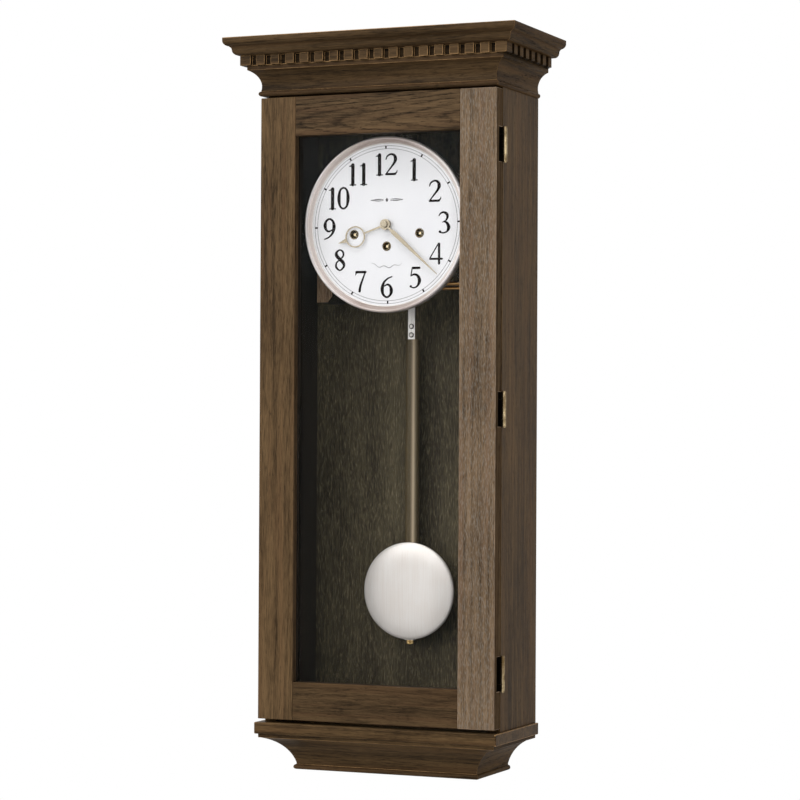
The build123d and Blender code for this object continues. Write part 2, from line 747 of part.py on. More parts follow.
def pendulum_bob():
    """Disc, nearly flat in the middle and rolled over at its rim, with guides for the stick behind it and a
    foot that rests on the nut."""
    front = [(0, -BOB_APEX), (26, -BOB_APEX - 0.2), (44, -BOB_APEX - 0.9), (54, -BOB_APEX - 2.4), (BOB_RADIUS, -BOB_RIM)]
    curve = Spline(*front, tangents=((1, 0), (0.5, -1)))
    rest = Polyline((BOB_RADIUS, -BOB_RIM), (BOB_RADIUS, -BOB_BACK), (0, -BOB_BACK), (0, -BOB_APEX))
    bob = revolve(make_face(curve + rest), Axis.Y)
    bob = Pos(0, 0, BOB_Z) * (Rot(180, 0, 0) * bob)
    for side in (-1, 1):
        x = sorted((side * (STICK_HALF_WIDTH + 0.5), side * (STICK_HALF_WIDTH + 2.5)))
        bob = bob + block(x, (BOB_BACK, -27), (BOB_Z - 40, BOB_Z + 45))
    foot = block((-6, 6), (BOB_BACK - 0.5, -26), (NUT_HIGH + 0.1, NUT_HIGH + 2.6))
    foot = foot - round_z(ROD_RADIUS + 0.35, 0, ROD_Y, (NUT_HIGH, NUT_HIGH + 3))
    return bob + foot


def rating_nut():
    """Knurled brass nut that sets the height of the bob."""
    ribs = 30
    points = []
    for rib in range(2 * ribs):
        angle = rib * pi / ribs
        radius = NUT_RADIUS - 0.3 * (rib % 2)
        points.append((radius * cos(angle), radius * sin(angle)))
    face = make_face(Polyline(*points, close=True)) - Circle(ROD_RADIUS + RUNNING)
    return Pos(0, ROD_Y, NUT_LOW) * extrude(face, NUT_HIGH - NUT_LOW)


def crutch():
    """Pallets on their arbor, and the crutch with the pin that pushes the leader."""
    x, z = SUSPENSION
    arbor = pin(PIVOT, SUSPENSION, (FRONT_PLATE[0], -46.5))
    right = [(10, -1), (9.2, -6.4), (7.9, -5.6), (6.5, -3.2)]
    pallets = right + [(-along, down) for along, down in reversed(right)]
    anchor = front_plate_shape(make_face(Polyline(*pallets, close=True)), x, HAND_Z + z, (-84.0, -82.8))
    boss = pin(3.0, SUSPENSION, (-84.0, -82.8))
    arm = block((-2, 2), (-48, -46.5), (HAND_Z + CRUTCH_Z - 3, HAND_Z + z + 3))
    finger = round_y(1.0, 0, HAND_Z + CRUTCH_Z, (-48, -27))
    return union(arbor, anchor, boss, arm, finger)


# --- chime -----------------------------------------------------------------------


def rod_height(index):
    return ROD_ROWS[index % 2]


def chime_block():
    """Iron block on a foot against the back panel, bored for the rods."""
    body = block(CHIME_BLOCK, (-95, BACK_FRONT - 5), (HAND_Z - 82, HAND_Z - 65))
    foot = block((-90, -54), (BACK_FRONT - 5, BACK_FRONT), (HAND_Z - 88, HAND_Z - 59))
    whole = body + foot
    for index, y in enumerate(ROD_YS):
        whole = whole - round_x(CHIME_ROD, y, rod_height(index), (CHIME_BLOCK[1] - 8, CHIME_BLOCK[1]))
    return whole


def chime_rods():
    """Five brass rods of different lengths, each with a thin neck next to the block."""
    rods = []
    for index, y in enumerate(ROD_YS):
        z = rod_height(index)
        start = CHIME_BLOCK[1]
        plug = round_x(CHIME_ROD, y, z, (start - 8, start))
        neck = round_x(0.9, y, z, (start, start + 4))
        long = round_x(CHIME_ROD, y, z, (start + 4, 104 + 6 * index))
        rods.append(union(plug, neck, long))
    return group(*rods)


def chime_hammers():
    """Five hammers on one arbor, each above its rod."""
    x, z = HAMMER_ARBOR
    hammers = pin(PIVOT, HAMMER_ARBOR, (FRONT_PLATE[0], BACK_PLATE[1]))
    head_x = -56.0
    for index, y in enumerate(ROD_YS):
        low = rod_height(index) + CHIME_ROD + 2.0
        head = round_z(2.3, head_x, y, (low, low + 10))
        start = Vector(x, y, HAND_Z + z)
        end = Vector(head_x, y, low + 9)
        run = end - start
        foot = (Align.CENTER, Align.CENTER, Align.MIN)
        arm = Plane(origin=start, z_dir=run) * Cylinder(0.9, run.length, align=foot)
        hub = round_y(2.6, x, HAND_Z + z, (y - 1.3, y + 1.3))
        hammers = union(hammers, head, arm, hub)
    return hammers


# --- catch -----------------------------------------------------------------------

CATCH_Z = (DOOR_MID + 150.0, DOOR_MID + 190.0)


def catch_magnet():
    """Magnet block inside the left side, just behind the door."""
    return block((-SIDE_INNER, -SIDE_INNER + 12), (CASE_FRONT + 0.2, CASE_FRONT + 16), CATCH_Z)


def catch_plate():
    """Steel plate on the back of the left stile, facing the magnet."""
    z = (CATCH_Z[0] + 5, CATCH_Z[1] - 5)
    return block((-SIDE_INNER + 1, -SIDE_INNER + 11), (DOOR_BACK, DOOR_BACK + 0.9), z)


# --- assembly --------------------------------------------------------------------

CAP_FRONT, CAP_SIDES = moulding(crown_cap_outline(), DOOR_TOP)
COVE_FRONT, COVE_SIDES = moulding(crown_cove_outline(), DOOR_TOP)
BASE_FRONT, BASE_SIDES = moulding(base_moulding_outline(), DOOR_BOTTOM)
DENTIL_FRONT, DENTIL_SIDES = dentil_strips()

PARTS = {
    "side_panel_left": side_panel_left(),
    "side_panel_right": side_panel_right(),
    "back_panel": back_panel(),
    "case_top_board": block((-SIDE_INNER, SIDE_INNER), (CASE_FRONT, BACK_FRONT), (CROWN_LOW, CROWN_LOW + 12)),
    "crown_frieze": block(
        (-INNER_EDGE, INNER_EDGE), (DOOR_FRONT + MOULDING_INSET, CASE_FRONT), (CROWN_LOW, CROWN_BOARD_LOW)
    ),
    "crown_top_board": block(
        (-INNER_EDGE, INNER_EDGE), (DOOR_FRONT + MOULDING_INSET, 0), (CROWN_BOARD_LOW, CROWN_HIGH)
    ),
    "crown_cap_front": CAP_FRONT,
    "crown_cap_returns": CAP_SIDES,
    "dentil_front": DENTIL_FRONT,
    "dentil_returns": DENTIL_SIDES,
    "crown_cove_front": COVE_FRONT,
    "crown_cove_returns": COVE_SIDES,
    "base_board": base_board(),
    "base_moulding_front": BASE_FRONT,
    "base_moulding_returns": BASE_SIDES,
    "hanging_rail": block((-SIDE_INNER, SIDE_INNER), (BACK_FRONT - 18, BACK_FRONT), (RAIL_LOW, CROWN_LOW)),
    "hanger_plate": hanger_plate(),
    "movement_arms": movement_arms(),
    "movement_straps": movement_straps(),
    "movement_front_plate": movement_front_plate(),
    "movement_back_plate": movement_back_plate(),
    "movement_pillars": movement_pillars(),
    "suspension_post": suspension_post(),
    "chime_barrels": chime_barrels(),
    "dial_plate": dial_plate(),
    "dial_bezel": dial_bezel(),
    "chime_block": chime_block(),
    "chime_rods": chime_rods(),
    "hinge_case_leaves": hinge_case_leaves(),
    "hinge_pins": hinge_pins(),
    "catch_magnet": catch_magnet(),
    "door_stile_left": door_stile_left(),
    "door_stile_right": door_stile_right(),
    "door_rail_top": door_rail(OPENING_TOP, DOOR_TOP),
    "door_rail_bottom": door_rail(DOOR_BOTTOM, OPENING_BOTTOM),
    "door_glass": door_glass(),
    "glass_retainers": glass_retainers(),
    "hinge_door_leaves": hinge_door_leaves(),
    "catch_plate": catch_plate(),
    "suspension_spring": suspension_spring(),
    "pendulum_leader": pendulum_leader(),
    "leader_screws": leader_screws(),
    "pendulum_stick": pendulum_stick(),
    "rating_rod": rating_rod(),
    "pendulum_bob": pendulum_bob(),
    "rating_nut": rating_nut(),
    "crutch": crutch(),
    "minute_hand": minute_hand(),
    "hand_nut": hand_nut(),
    "centre_wheel": centre_wheel(),
    "hour_hand": hour_hand(),
    "hour_wheel": hour_wheel(),
    "minute_wheel": minute_wheel(),
    "third_wheel": third_wheel(),
    "escape_wheel": escape_wheel(),
    "time_barrel": time_barrel(),
    "winding_arbor_strike": winding_arbor(WINDING_PLACES[0]),
    "winding_arbor_time": winding_arbor(WINDING_PLACES[1]),
    "winding_arbor_chime": winding_arbor(WINDING_PLACES[2]),
    "chime_hammers": chime_hammers(),
}

os.makedirs("parts", exist_ok=True)
for name, shape in PARTS.items():
    export_step(shape, f"parts/{name}.step")
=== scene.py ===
"""Looks of the pendulum wall clock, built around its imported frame. Metres, +Z up, the wall at y = 0."""
import json
import math
import bmesh
import bpy
from mathutils import Matrix, Vector


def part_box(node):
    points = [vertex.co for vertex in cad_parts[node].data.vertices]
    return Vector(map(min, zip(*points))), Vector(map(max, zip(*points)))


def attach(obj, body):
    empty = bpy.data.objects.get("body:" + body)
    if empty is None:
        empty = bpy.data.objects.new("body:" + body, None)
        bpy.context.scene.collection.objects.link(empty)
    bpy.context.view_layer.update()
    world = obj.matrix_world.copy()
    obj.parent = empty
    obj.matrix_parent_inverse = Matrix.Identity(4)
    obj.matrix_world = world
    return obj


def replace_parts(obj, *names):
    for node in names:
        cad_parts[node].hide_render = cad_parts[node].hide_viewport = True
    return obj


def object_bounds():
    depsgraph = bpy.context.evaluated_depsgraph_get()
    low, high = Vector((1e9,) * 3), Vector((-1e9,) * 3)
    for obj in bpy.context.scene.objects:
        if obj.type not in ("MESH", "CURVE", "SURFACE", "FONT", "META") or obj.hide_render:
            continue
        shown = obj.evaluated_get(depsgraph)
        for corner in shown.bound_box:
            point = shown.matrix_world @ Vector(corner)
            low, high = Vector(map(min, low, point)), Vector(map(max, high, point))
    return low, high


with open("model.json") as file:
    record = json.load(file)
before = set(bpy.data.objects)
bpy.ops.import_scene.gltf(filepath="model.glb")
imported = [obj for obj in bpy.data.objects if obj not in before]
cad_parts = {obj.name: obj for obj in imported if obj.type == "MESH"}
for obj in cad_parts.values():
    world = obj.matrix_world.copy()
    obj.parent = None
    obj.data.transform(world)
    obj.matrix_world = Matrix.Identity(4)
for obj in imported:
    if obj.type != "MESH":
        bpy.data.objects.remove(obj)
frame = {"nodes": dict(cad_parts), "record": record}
cad_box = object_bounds()
NODES = frame["nodes"]
MM = 0.001

DIAL_LOW, DIAL_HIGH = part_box("dial_plate")
DIAL_X = (DIAL_LOW.x + DIAL_HIGH.x) / 2
DIAL_Z = (DIAL_LOW.z + DIAL_HIGH.z) / 2
DIAL_Y = DIAL_LOW.y
BODY_OF = {node: body for body, nodes in frame["record"]["behaviour"]["bodies"].items() for node in nodes}


# --- materials -------------------------------------------------------------------


def linear(red, green, blue):
    """A colour given as 0 to 255 display values, as the shader wants it."""
    shares = [value / 255 for value in (red, green, blue)]
    return tuple(((v + 0.055) / 1.055) ** 2.4 if v > 0.04045 else v / 12.92 for v in shares) + (1.0,)


class Finish:
    """A procedural material, built node by node round one Principled shader."""

    def __init__(self, name, **constants):
        self.material = bpy.data.materials.new(name)
        self.material.use_nodes = True
        self.tree = self.material.node_tree
        self.shader = self.tree.nodes["Principled BSDF"]
        self.place = self.tree.nodes.new("ShaderNodeTexCoord").outputs["Object"]
        for socket, value in constants.items():
            self.set(socket, value)

    def set(self, socket, value):
        self.put(self.shader.inputs[socket.replace("_", " ")], value)

    def put(self, socket, value):
        if isinstance(value, bpy.types.NodeSocket):
            self.tree.links.new(value, socket)
        else:
            socket.default_value = value

    def math(self, operation, first, second=0.0):
        node = self.tree.nodes.new("ShaderNodeMath")
        node.operation = operation
        self.put(node.inputs[0], first)
        self.put(node.inputs[1], second)
        return node.outputs[0]

    def add(self, first, second):
        return self.math("ADD", first, second)

    def times(self, first, second):
        return self.math("MULTIPLY", first, second)

    def split(self, vector):
        node = self.tree.nodes.new("ShaderNodeSeparateXYZ")
        self.put(node.inputs[0], vector)
        return list(node.outputs)

    def join(self, x, y, z):
        node = self.tree.nodes.new("ShaderNodeCombineXYZ")
        for socket, value in zip(node.inputs, (x, y, z)):
            self.put(socket, value)
        return node.outputs[0]

    def noise(self, place, scales, seed=0.0, detail=2.0, roughness=0.5):
        """Noise from 0 to 1, with its own scale (per metre) along each axis."""
        mapping = self.tree.nodes.new("ShaderNodeMapping")
        self.put(mapping.inputs["Vector"], place)
        mapping.inputs["Scale"].default_value = scales
        mapping.inputs["Location"].default_value = (seed, seed * 1.7, seed * 0.6)
        node = self.tree.nodes.new("ShaderNodeTexNoise")
        self.put(node.inputs["Vector"], mapping.outputs[0])
        node.inputs["Scale"].default_value = 1.0
        node.inputs["Detail"].default_value = detail
        node.inputs["Roughness"].default_value = roughness
        return node.outputs["Fac"]

    def range(self, value, low, high, to_low=0.0, to_high=1.0):
        node = self.tree.nodes.new("ShaderNodeMapRange")
        for socket, given in zip(node.inputs, (value, low, high, to_low, to_high)):
            self.put(socket, given)
        return node.outputs[0]

    def mix(self, share, first, second):
        node = self.tree.nodes.new("ShaderNodeMix")
        node.data_type = "RGBA"
        self.put(node.inputs[0], share)
        self.put(node.inputs[6], first)
        self.put(node.inputs[7], second)
        return node.outputs[2]

    def bump(self, height, distance, strength=1.0):
        node = self.tree.nodes.new("ShaderNodeBump")
        node.inputs["Distance"].default_value = distance
        node.inputs["Strength"].default_value = strength
        self.put(node.inputs["Height"], height)
        self.set("Normal", node.outputs[0])


def toned(colour, share, grey=0.0):
    """A lighter or darker, greyer or warmer cast of a linear colour."""
    mean = sum(colour[:3]) / 3
    return tuple((v + (mean - v) * grey) * share for v in colour[:3]) + (1.0,)


OAK_LIGHT = linear(140, 110, 74)
OAK_DARK = linear(70, 53, 33)
OAK_PORE = linear(30, 24, 18)
OAK_WARM = linear(130, 96, 64)
OAK_FILLER = linear(150, 146, 138)
PITH_ASIDE = 0.3  # of a board's half width
PITH_DEPTH = 18 * MM  # behind the board's middle


def oak(
    node, axis, seed, share=1.0, grey=0.0, gloss=0.05,
    spacing=3.6, lean=0.03, figure=0.35, fleck=0.0, name=None,
):
    """Stained oak for one board, with its grain along the axis: growth rings cut lengthwise about a pith
    outside the board, with rows of dark early-wood pores along them, fine fibre, warmer streaks and slow
    changes of tone. share and grey cast the stain, spacing is that of the rings in millimetres, lean how far
    they run out of the board's length, figure how strongly they show, and fleck the share of pale dashes,
    where filler has stayed in the pores."""
    light, dark, pore, warm = (toned(cast, share, grey) for cast in (OAK_LIGHT, OAK_DARK, OAK_PORE, OAK_WARM))
    made = Finish(name or node + "_oak", Specular_IOR_Level=gloss)
    low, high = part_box(node)
    cross, depth, length = {"x": (2, 1, 0), "y": (2, 0, 1), "z": (0, 1, 2)}[axis]
    if axis == "z" and high.x - low.x < high.y - low.y:
        cross, depth = 1, 0
    parts = made.split(made.place)
    middle = (low + high) / 2
    half = (high - low) / 2
    side = made.add(parts[cross], PITH_ASIDE * half[cross] - middle[cross])
    if axis == "y":
        back = made.add(made.math("ABSOLUTE", parts[depth]), -PITH_DEPTH - high[depth])
    else:
        back = made.add(parts[depth], -PITH_DEPTH - middle[depth])
    along = parts[length]
    grain = made.join(parts[cross], parts[depth], along)
    sway = made.noise(grain, (11, 11, 2.2), seed, 1.0)
    ripple = made.noise(grain, (60, 60, 11), seed + 1, 1.0)
    radius = made.math("SQRT", made.add(made.times(side, side), made.times(back, back)))
    radius = made.add(radius, made.times(along, lean if seed % 2 < 1 else -lean))
    radius = made.add(made.add(radius, made.times(sway, 22 * MM)), made.times(ripple, 2.4 * MM))
    saw = made.math("FRACT", made.times(radius, 1 / (spacing * MM)))
    early = made.times(made.range(saw, 0.0, 0.12), made.range(saw, 0.15, 0.5, 1.0, 0.0))
    fine = made.noise(grain, (900, 900, 48), seed + 3, 3.0, 0.75)
    streak = made.noise(grain, (170, 170, 3.5), seed + 4, 2.0)
    dashes = made.noise(grain, (1100, 1100, 120), seed + 5, 1.0, 0.5)
    tone = made.noise(grain, (24, 24, 5), seed + 8, 2.0)
    heat = made.noise(grain, (110, 110, 3), seed + 11, 2.0)
    threshold = made.range(early, 0.0, 1.0, 0.66, 0.66 - 0.22 * figure)
    pores = made.range(made.math("SUBTRACT", dashes, threshold), 0.0, 0.1)
    level = made.add(made.range(fine, 0.3, 0.7, -0.5, 0.5), made.range(tone, 0.3, 0.7, -0.25, 0.25))
    level = made.add(level, made.range(streak, 0.3, 0.7, -0.28, 0.28))
    level = made.add(made.math("SUBTRACT", 0.55, made.times(early, 0.5 * figure)), level)
    colour = made.mix(made.range(level, 0.0, 1.0), dark, light)
    colour = made.mix(made.range(heat, 0.5, 0.7, 0.0, 0.5), colour, warm)
    colour = made.mix(made.times(pores, 0.4 + 0.4 * figure), colour, pore)
    if fleck:
        filler = made.noise(grain, (1300, 1300, 190), seed + 14, 1.0, 0.5)
        colour = made.mix(made.range(filler, 0.5, 0.68, 0.0, fleck), colour, toned(OAK_FILLER, share))
    made.set("Base_Color", colour)
    made.set("Roughness", made.range(made.add(pores, made.times(fine, 0.5)), 0.2, 1.3, 0.42, 0.66))
    made.bump(made.math("SUBTRACT", made.times(fine, 0.25), pores), 0.1 * MM, 0.6)
    return made.material


# Where the painted highlight on the stick's front runs, and how far it reaches to each side.
STICK_HIGHLIGHT_ASIDE = 4.0 * MM  # to the right of the stick's middle
STICK_HIGHLIGHT_REACH = 5.0 * MM


def stick_oak():
    """The pendulum stick's dark oak, with a painted highlight: a paler stripe down its rounded front, right
    of the middle.
    """
    made = Finish("pendulum_stick_oak", Specular_IOR_Level=0.3, Roughness=0.5)
    low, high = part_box("pendulum_stick")
    middle = (low.x + high.x) / 2 + STICK_HIGHLIGHT_ASIDE
    aside = made.math("ABSOLUTE", made.add(made.split(made.place)[0], -middle))
    fine = made.noise(made.place, (900, 900, 30), 41.0, 3.0, 0.7)
    stain = made.mix(made.range(fine, 0.3, 0.7), linear(66, 56, 36), linear(98, 84, 58))
    # Painted highlight: a paler stripe where the stick's rounded front would catch the light.
    painted_highlight = made.range(aside, 0.3 * MM, STICK_HIGHLIGHT_REACH, 1.0, 0.0)
    made.set("Base_Color", made.mix(made.times(painted_highlight, painted_highlight), stain, linear(184, 166, 138)))
    made.bump(fine, 0.05 * MM, 0.5)
    return made.material


def veneer():
    """The back panel's matt veneer, olive black, with short light flecks along its grain."""
    made = Finish("back_veneer", Specular_IOR_Level=0.15)
    fibre = made.noise(made.place, (800, 800, 70), 4.0, 3.0, 0.7)
    flecks = made.noise(made.place, (1100, 1100, 150), 9.0, 1.0, 0.5)
    tone = made.noise(made.place, (22, 22, 3), 2.0, 2.0)
    level = made.add(made.range(fibre, 0.35, 0.7, 0.0, 0.4), made.range(tone, 0.3, 0.7, -0.15, 0.15))
    level = made.add(level, made.range(flecks, 0.56, 0.72, 0.0, 0.55))
    made.set("Base_Color", made.mix(made.range(level, 0.0, 1.0), linear(50, 43, 30), linear(127, 116, 89)))
    made.set("Roughness", made.range(fibre, 0.3, 0.7, 0.5, 0.72))
    made.bump(fibre, 0.1 * MM, 0.6)
    return made.material


EVEN_LINES = (900, 900, 900)  # as fine along every axis
FINE_LINES = (1500, 1500, 1500)
ROD_LINES = (50, 1500, 1500)  # drawn out along X
LEADER_LINES = (1400, 1400, 40)  # drawn out along Z
BOB_LINES = (1500, 300, 16)  # long strokes along Z


def brushed(name, colour, wear_and_painted_light, roughness, scales, metallic=1.0, depth=0.02):
    """Metal with brush lines, drawn out along the axis of the smallest scale, and a slow change of tone."""
    made = Finish(name, Metallic=metallic)
    lines = made.noise(made.place, scales, 1.0, 3.0, 0.7)
    cloud = made.noise(made.place, (30, 30, 30), 6.0, 3.0)
    level = made.add(made.range(lines, 0.3, 0.7, 0.0, 0.6), made.range(cloud, 0.3, 0.7, 0.0, 0.4))
    made.set("Base_Color", made.mix(level, wear_and_painted_light, colour))
    made.set("Roughness", made.range(lines, 0.3, 0.7, roughness + 0.07, roughness - 0.07))
    made.bump(lines, depth * MM, 0.5)
    return made.material


def turned(name, colour, wear_and_painted_light, roughness, metallic):
    """Metal spun about the dial's centre: fine lines that run round it, and a painted reflection, paler to
    the left and right.
    """
    made = Finish(name, Metallic=metallic, Anisotropic=0.6)
    x, y, z = made.split(made.place)
    right = made.add(x, -DIAL_X)
    high = made.add(z, -DIAL_Z)
    made.set("Tangent", made.join(high, 0.0, made.times(right, -1.0)))
    radius = made.math("SQRT", made.add(made.times(right, right), made.times(high, high)))
    turn = made.math("ARCTAN2", high, right)
    lines = made.noise(made.join(radius, y, made.times(turn, 0.004)), (2600, 1500, 900), 2.0, 3.0, 0.7)
    # Painted reflection: paler where the spun metal's highlights would fan out to the left and right, darker
    # above and below.
    painted_fan_sheen = made.range(made.math("DIVIDE", made.math("ABSOLUTE", right), radius), 0.3, 0.95)
    level = made.add(made.range(lines, 0.3, 0.7, 0.0, 0.3), made.times(painted_fan_sheen, 0.7))
    made.set("Base_Color", made.mix(level, wear_and_painted_light, colour))
    made.set("Roughness", made.range(lines, 0.3, 0.7, roughness + 0.08, roughness - 0.06))
    made.bump(lines, 0.02 * MM, 0.5)
    return made.material


def aged_brass():
    """Hinge brass, darkened in patches and bright between them."""
    made = Finish("aged_brass", Metallic=1.0)
    patches = made.noise(made.place, (160, 160, 90), 3.0, 4.0, 0.6)
    fine = made.noise(made.place, (1500, 1500, 1500), 1.0, 2.0)
    share = made.range(patches, 0.35, 0.65)
    made.set("Base_Color", made.mix(share, linear(120, 98, 66), linear(222, 200, 158)))
    made.set("Roughness", made.range(patches, 0.3, 0.7, 0.5, 0.3))
    made.bump(fine, 0.02 * MM, 0.4)
    return made.material


def grained_paint(name, colour, shade, roughness, grain, depth, gloss=0.5):
    """Paint or plastic with a fine grain and a faint change of tone."""
    made = Finish(name, Specular_IOR_Level=gloss)
    fine = made.noise(made.place, (grain, grain, grain), 1.0, 3.0)
    cloud = made.noise(made.place, (18, 18, 18), 4.0, 2.0)
    level = made.add(made.times(fine, 0.5), made.times(cloud, 0.5))
    made.set("Base_Color", made.mix(made.range(level, 0.3, 0.7), shade, colour))
    made.set("Roughness", made.range(fine, 0.3, 0.7, roughness - 0.06, roughness + 0.06))
    made.bump(fine, depth * MM, 0.4)
    return made.material


def clear_glass():
    """Thin clear glass: light passes, and only its sheen shows."""
    made = Finish("clear_glass", Alpha=0.05, IOR=1.45, Base_Color=(0.03, 0.035, 0.033, 1.0))
    smear = made.noise(made.place, (12, 12, 12), 2.0, 2.0)
    made.set("Roughness", made.range(smear, 0.3, 0.7, 0.02, 0.06))
    return made.material


# --- geometry helpers -------------------------------------------------------------


def new_piece(name, build, finish, body):
    """A mesh piece from a bmesh-building function."""
    mesh = bpy.data.meshes.new(name)
    work = bmesh.new()
    build(work)
    bmesh.ops.recalc_face_normals(work, faces=work.faces)
    work.to_mesh(mesh)
    work.free()
    piece = bpy.data.objects.new(name, mesh)
    bpy.context.scene.collection.objects.link(piece)
    mesh.materials.append(finish)
    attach(piece, body)
    return piece


def slot_of(node):
    """The material slot that the record gives a CAD piece."""
    return next(s["material_slot"] for s in frame["record"]["subparts"] if s["node"] == node)


WELD = 0.01 * MM
FLAT_ANGLE = math.radians(1)  # facets that meet at less are one face
SHARP_ANGLE = math.radians(28)  # edges that turn by more are rounded over


def eased(node, finish, width, second=None, second_test=None, edge=None):
    """Stands for a CAD piece: the same shape with its sharp edges rounded over. second is the finish of the
    faces that pass second_test, and edge that of the rounded edges."""
    mesh = bpy.data.meshes.new(node + "_eased")
    work = bmesh.new()
    work.from_mesh(NODES[node].data)
    bmesh.ops.remove_doubles(work, verts=work.verts, dist=WELD)
    bmesh.ops.dissolve_limit(work, angle_limit=FLAT_ANGLE, verts=work.verts, edges=work.edges)
    for face in work.faces:
        face.smooth = True
        face.material_index = 1 if second and second_test(face) else 0
    work.to_mesh(mesh)
    work.free()
    for layer in ("custom_normal", "sharp_edge", "sharp_face"):
        if layer in mesh.attributes:
            mesh.attributes.remove(mesh.attributes[layer])
    piece = bpy.data.objects.new(node + "_eased", mesh)
    bpy.context.scene.collection.objects.link(piece)
    finishes = [made for made in (finish, second, edge) if made]
    for made in finishes:
        mesh.materials.append(made)
    bevel = piece.modifiers.new("ease", "BEVEL")
    bevel.width = width
    bevel.segments = 2
    bevel.limit_method = "ANGLE"
    bevel.angle_limit = SHARP_ANGLE
    bevel.harden_normals = True
    if edge:
        bevel.material = len(finishes) - 1
    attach(piece, BODY_OF[node])
    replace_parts(piece, node)
    return piece


def finish_node(node, finish):
    """Gives a CAD node that stays its material."""
    for slot in NODES[node].material_slots:
        slot.material = finish


# --- dial drawing -----------------------------------------------------------------


def smooth_path(points, closed, steps=10):
    """(x, z, width) samples along a smooth curve through the points."""
    count = len(points)
    spans = count if closed else count - 1
    samples = []
    for span in range(spans):
        if closed:
            four = [points[(span + k) % count] for k in (-1, 0, 1, 2)]
        else:
            four = [points[min(max(span + k, 0), count - 1)] for k in (-1, 0, 1, 2)]
        for step in range(steps):
            t = step / steps
            weights = (
                -0.5 * t + t * t - 0.5 * t ** 3,
                1 - 2.5 * t * t + 1.5 * t ** 3,
                0.5 * t + 2 * t * t - 1.5 * t ** 3,
                -0.5 * t * t + 0.5 * t ** 3,
            )
            samples.append(tuple(sum(w * p[k] for w, p in zip(weights, four)) for k in range(3)))
    if not closed:
        samples.append(points[-1])
    return samples


def brush(work, points, place, size, front, thick, closed=False, steps=10):
    """One pen stroke laid on the dial as a thin closed solid, with round ends."""
    samples = smooth_path(points, closed, steps) if len(points) > 2 else list(points)
    if not closed:
        samples = round_ends(samples)
    count = len(samples)
    rows = []
    for index, (x, z, width) in enumerate(samples):
        before = samples[index - 1] if index or closed else samples[0]
        after = samples[(index + 1) % count] if index < count - 1 or closed else samples[-1]
        run = Vector((after[0] - before[0], after[1] - before[1]))
        run = run.normalized() if run.length > 1e-9 else Vector((1, 0))
        side = Vector((-run.y, run.x)) * max(width, 0.002) / 2
        row = []
        for y in (front, front + thick):
            for sign in (1, -1):
                flat_x = place[0] + (x + sign * side.x) * size
                flat_z = place[1] + (z + sign * side.y) * size
                row.append(work.verts.new((flat_x, y, flat_z)))
        rows.append(row)
    spans = count if closed else count - 1
    for index in range(spans):
        a, b = rows[index], rows[(index + 1) % count]
        for first, second in ((0, 1), (3, 2), (2, 0), (1, 3)):
            work.faces.new((a[first], a[second], b[second], b[first]))
    if not closed:
        work.faces.new([rows[0][k] for k in (0, 2, 3, 1)])
        work.faces.new([rows[-1][k] for k in (0, 1, 3, 2)])


def round_ends(samples, steps=4):
    """Adds half-round ends to a stroke."""

    def cap(end, inner):
        run = Vector((end[0] - inner[0], end[1] - inner[1])).normalized()
        made = []
        for step in range(1, steps + 1):
            angle = math.pi / 2 * step / steps
            reach = math.sin(angle) * end[2] / 2
            made.append((end[0] + run.x * reach, end[1] + run.y * reach, end[2] * math.cos(angle)))
        return made

    return cap(samples[0], samples[1])[::-1] + samples + cap(samples[-1], samples[-2])


def ball(x, z, radius):
    """A dot, as a short stroke."""
    return [(x - 0.001, z, 2 * radius), (x + 0.001, z, 2 * radius)]


